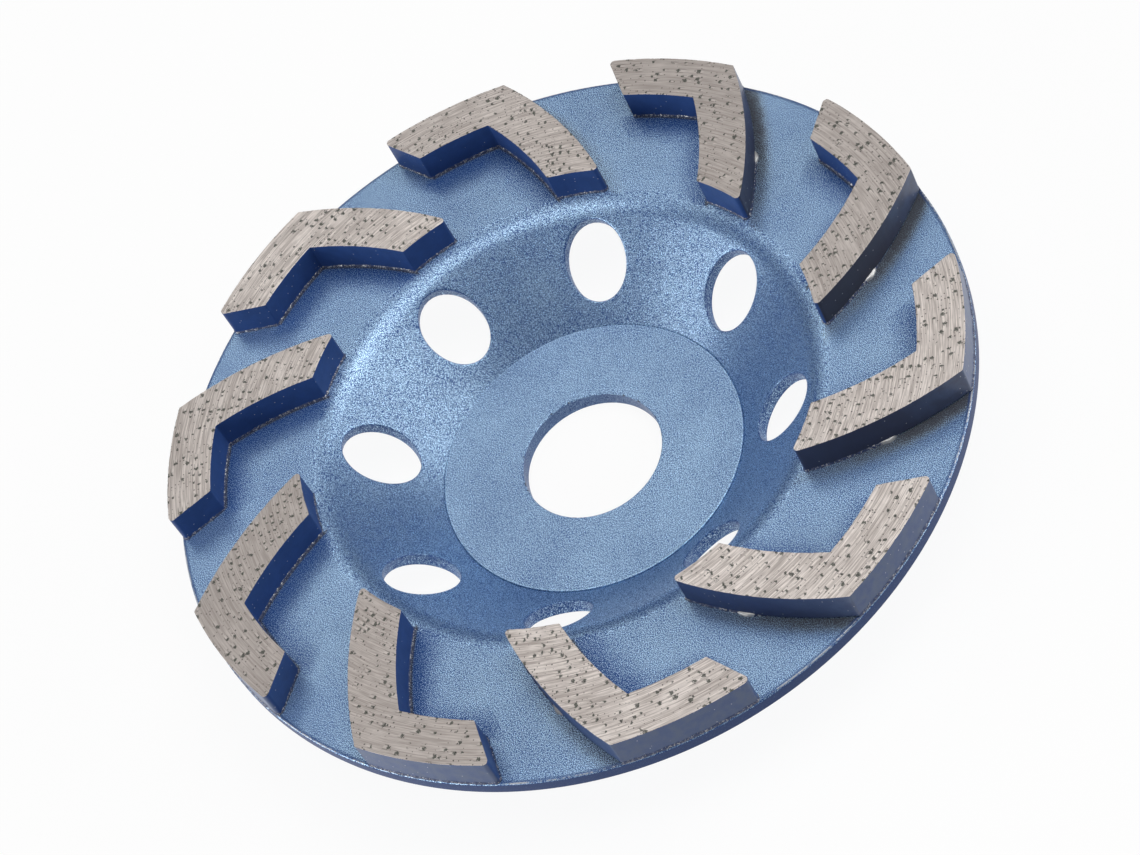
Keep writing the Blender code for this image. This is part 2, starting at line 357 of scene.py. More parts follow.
class Value:
    """A shader socket in an expression: each operator adds one Math node."""

    def __init__(self, shader, socket):
        self.shader = shader
        self.socket = socket

    def math(self, operation, *operands):
        """One Math node on these operands."""
        return self.shader.node("ShaderNodeMath", {"operation": operation}, dict(enumerate(operands)))

    def __add__(self, other):
        return self.math("ADD", self, other)

    def __sub__(self, other):
        return self.math("SUBTRACT", self, other)

    def __rsub__(self, other):
        return self.math("SUBTRACT", other, self)

    def __neg__(self):
        return self.math("MULTIPLY", self, -1)

    def __mul__(self, other):
        return self.math("MULTIPLY", self, other)

    def __truediv__(self, other):
        return self.math("DIVIDE", self, other)

    def __rtruediv__(self, other):
        return self.math("DIVIDE", other, self)

    def __pow__(self, other):
        return self.math("POWER", self, other)

    __radd__ = __add__
    __rmul__ = __mul__

    def above(self, low, high):
        """0 below low and 1 above high, smooth between them."""
        inputs = {"Value": self, "From Min": low, "From Max": high}
        return self.shader.node("ShaderNodeMapRange", {"interpolation_type": "SMOOTHSTEP"}, inputs)

    def below(self, low, high):
        """1 below low and 0 above high, smooth between them."""
        return 1 - self.above(low, high)


class Shader:
    """A material and its nodes."""

    def __init__(self, name):
        self.material = bpy.data.materials.new(name)
        self.material.use_nodes = True
        self.tree = self.material.node_tree
        self.surface = self.tree.nodes["Principled BSDF"]

    def node(self, kind, settings=None, inputs=None, output=0):
        """Any node: its settings are set first, then the values or links of its sockets."""
        made = self.tree.nodes.new(kind)
        for name, value in (settings or {}).items():
            setattr(made, name, value)
        for name, value in (inputs or {}).items():
            self.feed(made.inputs[name], value)
        return Value(self, made.outputs[output])

    def feed(self, socket, value):
        """Link a socket to a Value, or set it to a constant."""
        if isinstance(value, Value):
            self.tree.links.new(value.socket, socket)
        elif hasattr(value, "__len__") and socket.type == "RGBA":
            socket.default_value = (*value[:3], 1)
        else:
            socket.default_value = value

    def principled(self, **inputs):
        """Feed the surface's sockets, named with underscores for spaces."""
        for name, value in inputs.items():
            self.feed(self.surface.inputs[name.replace("_", " ").title().replace("Ior", "IOR")], value)

    def blend(self, factor, first, second):
        """The first colour, blended into the second by a factor."""
        return self.node("ShaderNodeMix", {"data_type": "RGBA"}, {0: factor, 6: first, 7: second}, 2)

    def place(self):
        """The point on the object in millimetres: the vector, then its x, y and z."""
        metres = self.node("ShaderNodeTexCoord", output="Object")
        vector = self.node("ShaderNodeVectorMath", {"operation": "SCALE"}, {0: metres, "Scale": MM})
        return (vector, *(self.node("ShaderNodeSeparateXYZ", {}, {0: vector}, axis) for axis in "XYZ"))

    def vector(self, x, y, z):
        """A vector from three numbers or values."""
        return self.node("ShaderNodeCombineXYZ", {}, {0: x, 1: y, 2: z})

    def mark(self):
        """The vertex attribute mark."""
        return self.node("ShaderNodeAttribute", {"attribute_name": "mark"}, {}, "Fac")

    def noise(self, vector, scale, detail=2.0, roughness=0.5):
        """Smooth noise from 0 to 1 with that many lumps to the millimetre."""
        inputs = {"Vector": vector, "Scale": scale, "Detail": detail, "Roughness": roughness}
        return self.node("ShaderNodeTexNoise", {}, inputs)

    def bump(self, height, depth, strength=1.0):
        """The normal that a height from 0 to 1 gives, with its full depth in metres."""
        return self.node("ShaderNodeBump", {}, {"Height": height, "Distance": depth, "Strength": strength})


# Sections and outlines


def cup_section(body):
    """Closed section of the cup as (radius, height): out over the front, down the rim, home under it."""
    slope = body.cone_slope
    foot = body.seat_thickness - body.seat_step
    back_start = body.seat_radius - foot / math.tan(slope) + body.cone_wall / math.sin(slope)
    flange_back = BODY_TOP.z - body.flange_thickness
    back_bend = max(body.flange_bend - body.cone_wall, body.cone_wall)
    corners = [
        (body.bore_radius, body.seat_thickness, body.bore_edge),
        (body.seat_radius, body.seat_thickness, body.seat_lip),
        (body.seat_radius, foot, 0),
        (body.seat_radius + (BODY_TOP.z - foot) / math.tan(slope), BODY_TOP.z, body.flange_bend),
        (BODY_TOP.x, BODY_TOP.z, body.rim_edge),
        (BODY_TOP.x, flange_back, body.rim_edge),
        (back_start + flange_back / math.tan(slope), flange_back, back_bend),
        (back_start, 0, body.hub_back_bend),
        (body.bore_radius, 0, body.bore_edge),
    ]
    corners = [(np.array([radius, height]), edge) for radius, height, edge in corners]
    return rounded_line(corners, math.radians(3))


def segment_outline(segment, body, spacing):
    """Closed plan outline of the first segment, with a point at least every given length."""
    outer = BODY_TOP.x - segment.ledge
    inner = outer - segment.rim_width
    rise = BODY_TOP.z - body.seat_thickness + body.seat_step
    bend_corner = body.seat_radius + rise / math.tan(body.cone_slope)
    tip = bend_corner + body.flange_bend * math.tan(body.cone_slope / 2) - segment.overhang
    axis = np.zeros(2)

    elbow = polar(outer, segment.turn)
    end_outer = polar(outer, segment.turn + segment.rim_sweep)
    along = -polar(1, segment.turn + segment.rim_sweep + segment.rim_end_lean)
    inwards = end_outer @ along
    end_inner = end_outer + along * (-inwards - math.sqrt(inwards ** 2 - outer ** 2 + inner ** 2))

    centre = curve_centre(segment)
    concave = segment.inward_radius - segment.inward_width
    crook = circle_crossing(centre, concave, inner)
    tip_concave = circle_crossing(centre, concave, tip)
    tip_convex = circle_crossing(centre, segment.inward_radius, tip)

    corner = segment.corner_radius
    corners = [
        (elbow, corner), *arc_corners(axis, elbow, end_outer), (end_outer, segment.end_radius),
        (end_inner, corner), *arc_corners(axis, end_inner, crook),
        (crook, corner), *arc_corners(centre, crook, tip_concave),
        (tip_concave, corner), *arc_corners(axis, tip_concave, tip_convex),
        (tip_convex, segment.tip_radius), *arc_corners(centre, tip_convex, elbow),
    ]
    line = rounded_line(corners, math.radians(12))
    return densified(np.vstack([line, line[:1]]), spacing)[:-1]


def curve_centre(segment):
    """Centre of the inward arm's curve, for the first segment."""
    elbow = polar(BODY_TOP.x - segment.ledge, segment.turn)
    return elbow + polar(segment.inward_radius, segment.turn + math.pi / 2 + segment.inward_lean)


def outward(line):
    """Unit normals of a closed counter-clockwise line, pointing out of it."""
    along = np.roll(line, -1, axis=0) - np.roll(line, 1, axis=0)
    along /= np.linalg.norm(along, axis=1, keepdims=True)
    return np.column_stack([along[:, 1], -along[:, 0]])


def waves(t, seed, periods):
    """Even ripple from -1 to 1 along a closed path: a sum of sines of whole periods with seeded phases."""
    phases = np.random.default_rng(seed).uniform(0, math.tau, len(periods))
    total = np.sin(math.tau * np.outer(t, periods) + phases).sum(axis=1)
    return total / math.sqrt(len(periods) * 2)


# Cup body


def window_ring(body, inner, outer):
    """Radius and turn of the points round a vent hole's window, the part of a sector between two radii."""
    columns, sides = HOLE_COLUMNS, HOLE_SIDES
    sector = math.tau / body.hole_count
    steps = np.linspace(-0.5, 0.5, columns + 1) * sector
    reach = np.linspace(inner, outer, sides + 1)
    radius = [np.full(columns, inner), reach[:-1], np.full(columns, outer), reach[:0:-1]]
    turn = [steps[:-1], np.full(sides, steps[-1]), steps[:0:-1], np.full(sides, steps[0])]
    return np.concatenate(radius), np.concatenate(turn)


def hole_grid(body, front, back, inner, outer):
    """Rows of points round the vent hole on +X, from its window on the front to the one on the back.

    On each face a row lies a share of the way from the window's edge to the hole's edge, at the section's
    height. Between the faces, the edges are quadratic curves and the wall runs straight along the punch.
    """
    window_radius, window_turn = window_ring(body, inner, outer)
    middle = body.seat_radius + body.hole_setback
    half_length = body.hole_length / 2 * math.cos(body.cone_slope - body.hole_lean)
    half_width = body.hole_width / 2
    lean = body.hole_lean
    centre = np.array([middle, 0, np.interp(middle, *front)])
    long_way = np.array([math.cos(lean), 0, math.sin(lean)])
    punch = np.array([-math.sin(lean), 0, math.cos(lean)])
    round_hole = np.arctan2(window_radius * np.sin(window_turn) / half_width,
                            (window_radius * np.cos(window_turn) - middle) / half_length)

    def rim(face, grow):
        """The oval, grown by a margin, slid along the punch until it lies on a face."""
        oval = centre + np.outer(np.cos(round_hole) * (half_length + grow), long_way)
        oval[:, 1] += np.sin(round_hole) * (half_width + grow)
        denominator = punch[2] - math.tan(body.cone_slope) * punch[0]
        for _ in range(SLIDE_STEPS):
            height = np.interp(np.hypot(oval[:, 0], oval[:, 1]), *face)
            oval = oval + np.outer((height - oval[:, 2]) / denominator, punch)
        return oval

    def face_rows(face):
        """Rows over one face, from the window to just short of the hole's edge."""
        edge = rim(face, body.hole_edge)
        share = np.linspace(0, 1, FACE_ROWS)[:, None]
        radius = window_radius * (1 - share) + np.hypot(edge[:, 0], edge[:, 1]) * share
        turn = window_turn * (1 - share) + np.arctan2(edge[:, 1], edge[:, 0]) * share
        return np.stack([radius * np.cos(turn), radius * np.sin(turn), np.interp(radius, *face)], axis=-1)

    def edge_rows(face, inwards):
        """Rows of the rounded edge between a face and the wall."""
        start, corner = rim(face, body.hole_edge), rim(face, 0)
        end = corner + punch * inwards * body.hole_edge
        t = np.linspace(0, 1, EDGE_ROWS)[:, None, None]
        return (1 - t) ** 2 * start + 2 * t * (1 - t) * corner + t ** 2 * end

    top, bottom = edge_rows(front, -1), edge_rows(back, 1)
    t = np.linspace(0, 1, WALL_ROWS + 2)[1:-1, None, None]
    wall = top[-1] * (1 - t) + bottom[-1] * t
    rows = np.concatenate([face_rows(front)[:-1], top, wall, bottom[::-1], face_rows(back)[::-1][1:]])
    uncut = np.zeros(FACE_ROWS - 1 + EDGE_ROWS // 3)
    cut = np.concatenate([uncut, np.ones(len(rows) - 2 * len(uncut)), uncut])
    return rows, np.repeat(cut[:, None], rows.shape[1], axis=1)


def make_cup_body(segment, body, finish):
    """The cup: its section turned about the spindle axis, with a ring of vent hole grids in the cone.

    A turned point is (r cos t, r sin t, z) for each point (r, z) of the section and each angle t.
    """
    section = cup_section(body)
    rim = int(np.argmax(section[:, 0] >= BODY_TOP.x - WELD))
    front, back = section[:rim + 1], section[rim + 1:]
    foot = np.flatnonzero(front[:, 0] < body.seat_radius + WELD)[-1]
    over, under = front[foot:].T, back[::-1].T
    inner = body.seat_radius + HUB_MARGIN
    outer = body.seat_radius + body.hole_setback + HOLE_MARGIN

    def lip(radius, face):
        """The point of a face at a radius."""
        return np.array([[radius, np.interp(radius, *face)]])

    hub = np.vstack(
        [lip(inner, under), back[back[:, 0] < inner], front[front[:, 0] < inner], lip(inner, over)])
    flange = np.vstack(
        [lip(outer, over), front[front[:, 0] > outer], back[back[:, 0] > outer], lip(outer, under)])
    sector = math.tau / body.hole_count
    turns = np.linspace(0, math.tau, body.hole_count * HOLE_COLUMNS, endpoint=False) - sector / 2
    patches = []
    for run in (hub, flange):
        run = densified(run, TURNED_STEP)
        ring = turned(np.column_stack([run[:, 0], np.zeros(len(run)), run[:, 1]]), turns)
        marks = np.tile(np.where(run[:, 0] < body.bore_radius + WELD, -1.0, 0.0), len(turns))
        patches.append((ring.reshape(-1, 3), grid_faces(len(turns) + 1, len(run)) % len(marks), marks))
    rows, cut = hole_grid(body, over, under, inner, outer)
    quads = grid_faces(*rows.shape[:2], wrap=True)
    for copy in turned(rows, np.arange(body.hole_count) * sector):
        patches.append((copy.reshape(-1, 3), quads, cut.ravel()))
    piece = new_piece("cup_body_fine", patches, body_paint(segment, body, finish), 50)
    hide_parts(BODY)
    return piece


# Segments and braze


def segment_rows(line, seed, segment):
    """Rows up a segment's wall: out at the outline, then in by the worn edge, with small chips there."""
    bottom, top = SEGMENT_BOX[0].z, SEGMENT_BOX[1].z
    normal = outward(line)
    share = np.linspace(0, 1, len(line), endpoint=False)
    rough = np.random.default_rng(seed).uniform(0, 1, len(line))
    chip = segment.ground_edge * (0.7 + 1.8 * np.clip(rough - (1 - CHIPPED), 0, 1) / CHIPPED)
    sway = waves(share, seed, np.array([7, 11, 17, 29])) * WALL_SWAY
    inset = [0, 0, 0, 0, 0.3 * chip, chip]
    depth = top - bottom
    height = [bottom, bottom + 0.3 * depth, bottom + 0.7 * depth, top - chip, top - 0.3 * chip, top]
    rows = []
    for step, level in zip(inset, height):
        plan = line - normal * (step + np.abs(sway))[:, None]
        rows.append(np.column_stack([plan, np.broadcast_to(level, len(line))]))
    return rows


def make_segments(segment, body, finish):
    """The ten segments: the outline carried up the wall, closed by the joint face and the ground face."""
    line = segment_outline(segment, body, WALL_STEP)
    material = segment_finish(segment, finish)
    pieces = []
    for index, node in enumerate(SEGMENTS):
        rows = segment_rows(line, index + 1, segment)
        piece = walled_piece(f"{node}_fine", index, rows, np.zeros(len(line)), material, 16)
        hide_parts(node)
        pieces.append(piece)
    return pieces


def braze_reach(line, seed, segment, braze):
    """How far the braze stands out of the joint at each point of the outline, and how much is spare filler.

    It is the bead's reach with ripples. Along the convex side it falls back by the recess towards the
    rim, and one blob of spare filler, a bell curve along the joint, stands out at the arm's middle.
    """
    centre = curve_centre(segment)
    radius = np.hypot(*line.T)
    convex = np.abs(np.hypot(*(line - centre).T) - segment.inward_radius) < SIDE_SLACK
    share = np.linspace(0, 1, len(line), endpoint=False)
    ripple = waves(share, seed, np.array([23, 37, 61, 89, 131])) * braze.ripple
    reach = braze.reach + ripple
    rimward = np.clip((radius - RECESS_RADIUS) / RECESS_RUN, 0, 1)
    reach = np.where(convex, reach * (1 - rimward) - braze.recess * rimward, reach)
    outer = radius > BODY_TOP.x - segment.ledge - RIM_SLACK
    reach = np.where(outer, np.minimum(reach, segment.ledge), reach)
    blob_radius = FILLER_RADIUS + FILLER_WANDER * math.sin(2.4 * seed)
    spread = (radius - blob_radius) / (braze.filler_length / 4)
    blob = convex * np.exp(-spread ** 2)
    return reach * (1 - blob) + braze.filler * blob, blob


def make_braze(segment, body, braze, finish):
    """The braze film under each segment, with the bead that it leaves round the joint.

    Its section runs from the flange out by the reach, round an egg shaped bead and up the wall.
    """
    line = segment_outline(segment, body, BEAD_STEP)
    normal = outward(line)
    flange, wall = BODY_TOP.z, SEGMENT_BOX[0].z
    material = braze_finish(finish)
    pieces = []
    for index in range(len(SEGMENTS)):
        reach, blob = braze_reach(line, 40 + index, segment, braze)
        climb = braze.climb * np.clip(reach / braze.reach, 0, 1.6)
        inside = line - normal * FILM_INSET
        rows = [np.column_stack([inside, np.full(len(line), flange)])]
        for t in np.linspace(0, math.pi / 2, 6):
            plan = line + normal * (reach * math.cos(t) - BEAD_OVERLAP * math.sin(t))[:, None]
            rows.append(np.column_stack([plan, flange + (wall - flange + climb) * math.sin(t)]))
        rows.append(np.column_stack([inside, np.full(len(line), wall - FILM_GAP)]))
        pieces.append(walled_piece(f"braze_{index + 1:02d}", index, rows, blob, material, 60))
    return pieces


# Finishes


class SegmentPlace:
    """Where a point lies against its own segment, whichever of the ten it is.

    The angle about the axis, leant so that a segment covers less than its share of the turn, is folded
    by the pitch. radius and along are the grinding marks' own directions: out, and round the axis.
    arm_end is the turn at which the rim arm's inner side ends. sprayed is about 1 on the side of the
    wheel that caught most of the dark overspray, and -1 on the other.
    """

    LEAN = math.radians(16) / 24
    START = math.radians(-17)
    ARM_END_INSET = math.radians(3.6)
    SPRAYED_SIDE = (0.95, 0.31)

    def __init__(self, shader, segment):
        self.vector, self.x, self.y, self.z = shader.place()
        pitch = math.tau / len(SEGMENTS)
        outer = (BODY_TOP.x - segment.ledge) * MM
        self.radius = (self.x * self.x + self.y * self.y) ** 0.5
        turn = self.y.math("ARCTAN2", self.y, self.x)
        leant = turn + (outer - self.radius) * self.LEAN
        step = self.x.math("FLOOR", (leant - self.START) / pitch)
        self.number = self.x.math("FLOORED_MODULO", step, len(SEGMENTS))
        self.turn = turn - step * pitch
        self.along = self.turn * outer
        self.lane = shader.vector(self.radius, self.along, self.number * 7.3)
        centre = curve_centre(segment) * MM
        across = self.radius * self.x.math("COSINE", self.turn) - centre[0]
        beyond = self.radius * self.x.math("SINE", self.turn) - centre[1]
        distance = (across * across + beyond * beyond) ** 0.5
        self.convex_gap = distance - segment.inward_radius * MM
        self.concave_gap = (segment.inward_radius - segment.inward_width) * MM - distance
        self.rim_gap = outer - segment.rim_width * MM - self.radius
        self.arm_end = segment.turn + segment.rim_sweep - self.ARM_END_INSET
        self.sprayed = (self.x * self.SPRAYED_SIDE[0] + self.y * self.SPRAYED_SIDE[1]) / self.radius


def soot_on_flange(shader, place, on_flange, crook, flakes):
    """Dark overspray on the flange: a cloud beside each convex side, and a narrow line in each crook."""
    near = place.convex_gap.below(0.5, 3.9) * place.convex_gap.above(-0.4, 0.1)
    rimward = place.radius.above(40.0, 58.0) * 0.6 + 0.4
    heavy = place.sprayed * 0.42 + 0.58
    cloud = shader.noise(place.vector, 0.7, 2.0, 0.5)
    soot = on_flange * rimward * heavy * near * (cloud * 0.5 + 0.75)
    rim_seam = place.rim_gap.below(0.15, 0.75) * place.turn.below(place.arm_end - 0.004, place.arm_end)
    seam = place.x.math("MAXIMUM", place.concave_gap.below(0.15, 0.75), rim_seam)
    soot = soot.math("MAXIMUM", soot, seam * crook * 0.75)
    return (soot - (flakes - 0.5) * 1.4).above(0.15, 0.85)


def edge_wear(shader, place, body, on_flange):
    """Where the rim is worn to bare steel, and where the rim and the bore's mouth are chipped."""
    rim_radius = BODY_TOP.x * MM
    rim = place.radius.above(rim_radius - 0.34, rim_radius - 0.20) * on_flange
    worn = shader.noise(place.vector, 0.22, 2.0, 0.5) * 0.5
    worn = worn + shader.noise(place.vector, 2.4, 2.0, 0.6) * 0.5
    chips = shader.noise(place.vector, 0.75, 3.0, 0.75).above(0.685, 0.70) * rim

    bore, front = body.bore_radius * MM, body.seat_thickness * MM
    mouth = place.radius.below(bore + 0.14, bore + 0.30) * place.z.above(front - 0.35, front - 0.1)
    nicks = shader.noise(place.vector, 1.1, 3.0, 0.7).above(0.60, 0.64) * mouth
    return rim * worn.above(0.44, 0.56), nicks + chips


def body_paint(segment, body, finish):
    """Blue metallic paint on blasted steel: bright flakes in dark pigment, soot beside the segments.

    The flakes are fewer on punched walls. Fewer flakes in the segments' crooks are painted shade beside the
    walls, partly also the darker paint that the spray leaves there; fewer on the rim's side are painted
    shade, and more on the edge of the seat are a painted highlight along its lip.
    """
    shader = Shader("blue_paint")
    place = SegmentPlace(shader, segment)
    grain = shader.noise(place.vector, finish.grain, 1.5, 0.6)
    flakes = shader.noise(place.vector, finish.grain * 1.25, 1.0, 0.5)
    patches = shader.noise(place.vector, 0.09, 3.0, 0.6)
    cut = shader.mark()
    top, rim_radius = BODY_TOP.z * MM, BODY_TOP.x * MM
    seat, front = body.seat_radius * MM, body.seat_thickness * MM

    on_flange = place.z.above(top - 0.2, top - 0.05)
    # Painted shade in the crooks: fewer flakes within 6.5 mm of each concave wall and of the rim arm's inner
    # side, where the walls shade the flange. Part of it is also the darker, less flaky paint that the spray
    # leaves beside the walls.
    before_end = place.turn.below(place.arm_end - 0.02, place.arm_end + 0.06)
    painted_shade_behind_rim = place.rim_gap.below(0.0, 6.5) * before_end
    crook = place.x.math("MAXIMUM", place.concave_gap.below(0.0, 6.5), painted_shade_behind_rim)
    crook = crook * place.concave_gap.above(-0.3, 0.0) * place.rim_gap.above(-0.3, 0.0) * on_flange
    ledge = place.radius.above(rim_radius - 0.75, rim_radius - 0.45) * on_flange
    # Painted shade on the rim's side: fewer flakes there, and further down the paint is blended to a darker
    # navy.
    side = place.radius.above(rim_radius - 0.15, rim_radius - 0.02)
    side = side * place.z.below(top - 0.35, top - 0.15)
    # Painted highlight along the seat's edge: more flakes there give a lighter line where its rounded lip
    # catches the light.
    lip = place.radius.above(seat - 0.30, seat - 0.12)
    lip = lip * place.z.above(front - 0.22, front - 0.12)
    lip = lip * place.radius.below(seat, seat + 0.2)
    # Fewer flakes: painted shade in the crooks and on the rim's side, the punched walls' own sparser flakes,
    # and more flakes on the seat's edge for its painted highlight.
    sparse_flakes_and_painted_light = crook * 0.085 + side * 0.15 + cut.above(0.2, 0.8) * 0.07 - lip * 0.05

    flake = (flakes + (patches - 0.5) * 0.08 - sparse_flakes_and_painted_light).above(0.450, 0.597)
    soot = soot_on_flange(shader, place, on_flange, crook, flakes)
    silver, chipped = edge_wear(shader, place, body, on_flange)
    paint = shader.blend(flake, finish.pigment, finish.flake)
    paint = shader.blend(cut.below(-0.8, -0.2) * 0.7, paint, finish.wall)
    # Painted shade: the rim's side darkened towards navy.
    paint = shader.blend(side * 0.9, paint, [0.7 * part for part in finish.wall])
    paint = shader.blend(soot * 0.9, paint, finish.soot)
    paint = shader.blend(ledge * 0.6, paint, finish.wall)
    paint = shader.blend(silver * 0.8, paint, finish.steel)
    paint = shader.blend(chipped * 0.9, paint, finish.soot)
    shader.principled(
        base_color=paint,
        metallic=flake * 0.95 * (1 - soot * 0.7),
        roughness=0.43 - flake * 0.07,
        specular_ior_level=0.15,
        coat_weight=0.08,
        coat_roughness=0.3,
        normal=shader.bump(grain * 0.8 + flakes * 0.4 - chipped * 0.8, 0.00006, 0.17),
    )
    return shader.material


def grit_in_bond(shader, place, across, along, least, most, share):
    """Diamond grit in the ground face: its spots, and the tails of bond that each one has shielded.

    The face is cut into cells of across by along millimetres, with one grain in each of a share of them,
    more in some places than in others.
    A spot is the part nearer to its grain than a size of its own, roughened by noise. A tail is a strip
    that narrows away from the grain, against the turn of the wheel.
    """
    wobble = shader.noise(place.lane, 3.4, 2.0, 0.6)
    crowd = shader.noise(place.lane, 0.3, 2.0, 0.6) - 0.5
    cell = shader.vector(place.radius / across + place.number * 17, place.along / along, 0)
    voronoi = {"voronoi_dimensions": "2D"}
    grain = shader.node("ShaderNodeTexVoronoi", voronoi, {"Vector": cell, "Scale": 1}, "Position")
    chance = shader.node("ShaderNodeTexVoronoi", voronoi, {"Vector": cell, "Scale": 1}, "Color")
    offset = shader.node("ShaderNodeVectorMath", {"operation": "SUBTRACT"}, {0: cell, 1: grain})
    out = shader.node("ShaderNodeSeparateXYZ", {}, {0: offset}, "X") * across
    ahead = shader.node("ShaderNodeSeparateXYZ", {}, {0: offset}, "Y") * along
    there, size, trail = (shader.node("ShaderNodeSeparateColor", {}, {0: chance}, part)
                          for part in ("Red", "Green", "Blue"))
    there = (there - crowd * 1.5).below(share - 0.02, share + 0.02)
    size = size * (most - least) + least
    distance = (out * out + ahead * ahead) ** 0.5 + (wobble - 0.5) * size * 3.0
    spot = distance.below(size * 0.7, size * 1.2) * there
    reach = size * 2.2 + trail * 1.1
    within = (ahead / reach + 1).above(0.0, 0.5) * ahead.below(-size * 0.2, size * 0.2)
    side = out.math("ABSOLUTE", out) / size
    ridge = side.below(0.45, 0.8) * within * there
    groove = side.above(0.55, 0.9) * side.below(1.0, 1.4) * within * there
    return spot, ridge, groove


def ground_bond(shader, place, finish):
    """The ground face: its colour, its spots of grit, and the relief of its grinding marks and tails.

    Each segment's face has a tone of its own, by a cosine of its number.
    """
    seed = place.number * 7.3
    hair = shader.noise(shader.vector(place.radius * 6.6, place.along * 0.19, seed), 1.0, 2.0, 0.6)
    stripe = shader.noise(shader.vector(place.radius * 2.7, place.along * 0.09, seed + 3.1), 1.0, 2.0, 0.5)
    mottle = shader.noise(place.lane, 0.45, 3.0, 0.6)
    marks = hair * 0.7 + stripe * 0.3
    dull = 0.5 - place.x.math("COSINE", place.number * 1.35 + 0.8) * 0.5
    bond = shader.blend(marks.above(0.37, 0.63), [0.69 * part for part in finish.bond], finish.scratch)
    bond = shader.blend(mottle.above(0.35, 0.75) * 0.4, bond, [0.80 * part for part in finish.bond])
    bond = shader.blend(dull * 0.62, bond, [0.52 * part for part in finish.bond])

    spot, ridge, groove = grit_in_bond(shader, place, 1.15, 1.9, 0.16, 0.37, 0.54)
    small = grit_in_bond(shader, place, 0.62, 0.9, 0.06, 0.13, 0.35)[0]
    # Painted highlight: the raised tails behind the grains are lightened towards the scratch colour, where
    # their relief catches the light.
    bond = shader.blend(ridge * 0.2, bond, finish.scratch)
    bond = shader.blend(groove * 0.42, bond, finish.diamond)
    bond = shader.blend(spot * (0.60 + shader.noise(place.lane, 5.0, 1.0, 0.5) * 0.6), bond, finish.diamond)
    bond = shader.blend(small * 0.8, bond, finish.soot)
    return bond, spot, marks * 0.45 + ridge * 0.05 - groove * 0.12 - spot * 0.14


def painted_wall(shader, place, segment, finish):
    """The painted walls: their colour, where they carry dust and a painted sheen, and where specks of steel
    show.

    A convex side is dark where it caught the overspray. The outer walls, and each convex side towards the
    rim, are a
    lighter grey: partly dust, partly a painted sheen for the bright floor that these walls reflect.
    """
    clouds = shader.noise(place.vector, 0.5, 3.0, 0.6)
    specks = shader.node("ShaderNodeTexVoronoi", {}, {"Vector": place.vector, "Scale": 0.9}, "Distance")
    speck = specks.below(0.06, 0.10)
    outer = (BODY_TOP.x - segment.ledge) * MM
    convex = place.convex_gap.above(-0.25, -0.12)
    sooty = convex * (place.sprayed * 0.5 + 0.5) ** 2
    # Lighter grey on the outer walls and on the convex side towards the rim: partly dust, partly a painted
    # sheen standing in for the bright floor that these walls reflect.
    dust_and_sheen = place.radius.above(outer - 0.5, outer - 0.15)
    dust_and_sheen = dust_and_sheen.math("MAXIMUM", dust_and_sheen, convex * place.radius.above(outer - 12, outer) * 0.8)

    wall = shader.blend(clouds.above(0.3, 0.75) * 0.35, finish.wall, [1.5 * part for part in finish.wall])
    wall = shader.blend(sooty * 0.85, wall, [0.8 * part for part in finish.soot])
    wall = shader.blend(dust_and_sheen * (clouds.above(0.35, 0.65) * 0.5 + 0.5), wall, finish.dust_and_sheen)
    return shader.blend(speck * 0.6, wall, finish.steel), dust_and_sheen, speck


def segment_finish(segment, finish):
    """Ground metal bond with diamond grit on top, and smooth dark blue paint down the walls."""
    shader = Shader("diamond_bond")
    place = SegmentPlace(shader, segment)
    bond, spot, relief = ground_bond(shader, place, finish)
    wall, dust_and_sheen, speck = painted_wall(shader, place, segment, finish)
    top = SEGMENT_BOX[1].z * MM
    edge = shader.noise(place.vector, 5.0, 2.0, 0.6)
    ground = (place.z + (edge - 0.5) * 0.16).above(top - 0.09, top - 0.04)
    shader.principled(
        base_color=shader.blend(ground, wall, bond),
        metallic=ground * (0.6 - spot * 0.5) + speck * 0.3,
        roughness=0.42 + ground * 0.08,
        specular_ior_level=0.2,
        coat_weight=(1 - ground) * dust_and_sheen * 0.25,
        coat_roughness=0.22,
        normal=shader.bump(ground * relief + (1 - ground) * edge * 0.25, 0.00006, 0.6),
    )
    return shader.material


def braze_finish(finish):
    """Silver braze: a bright blob of spare filler, and bright dots in dark paint, duller on the rim."""
    shader = Shader("braze")
    vector, x, y = shader.place()[:3]
    lumps = shader.noise(vector, 2.9, 2.0, 0.6)
    fine = shader.noise(vector, 6.0, 1.0, 0.5)
    blob = shader.mark()
    on_ledge = ((x * x + y * y) ** 0.5).above(BODY_TOP.x * MM - 0.45, BODY_TOP.x * MM - 0.25)
    dots = (lumps + (fine - 0.5) * 0.7).above(0.56, 0.63) * (1 - on_ledge * 0.5)
    silver = dots.math("MAXIMUM", dots, (blob + (lumps - 0.5) * 0.5).above(0.22, 0.34))
    dark = shader.blend(fine, finish.wall, finish.soot)
    shader.principled(
        base_color=shader.blend(silver, dark, finish.braze),
        metallic=silver * 0.6,
        roughness=0.50 - silver * 0.14,
        normal=shader.bump(fine, 0.00005, 0.4),
    )
    return shader.material


def floor_finish():
    """Plain white floor, lit as it is. Reflections see it white, and the camera sees it nearly so."""
    shader = Shader("floor")
    shader.principled(base_color=FLOOR_COLOUR, roughness=0.9, specular_ior_level=0.1)
    camera, glossy, through = (shader.node("ShaderNodeLightPath", output=name) for name in
                               ("Is Camera Ray", "Is Glossy Ray", "Is Transmission Ray"))
    white = glossy.math("MAXIMUM", glossy, through)
    white = white.math("MAXIMUM", white, camera * FLOOR_SEEN)
    glow = shader.node("ShaderNodeEmission", {}, {"Color": (1, 1, 1), "Strength": 1})
    surface = Value(shader, shader.surface.outputs[0])
    mixed = shader.node("ShaderNodeMixShader", {}, {0: white, 1: surface, 2: glow})
    shader.feed(shader.tree.nodes["Material Output"].inputs["Surface"], mixed)
    return shader.material


# Stage


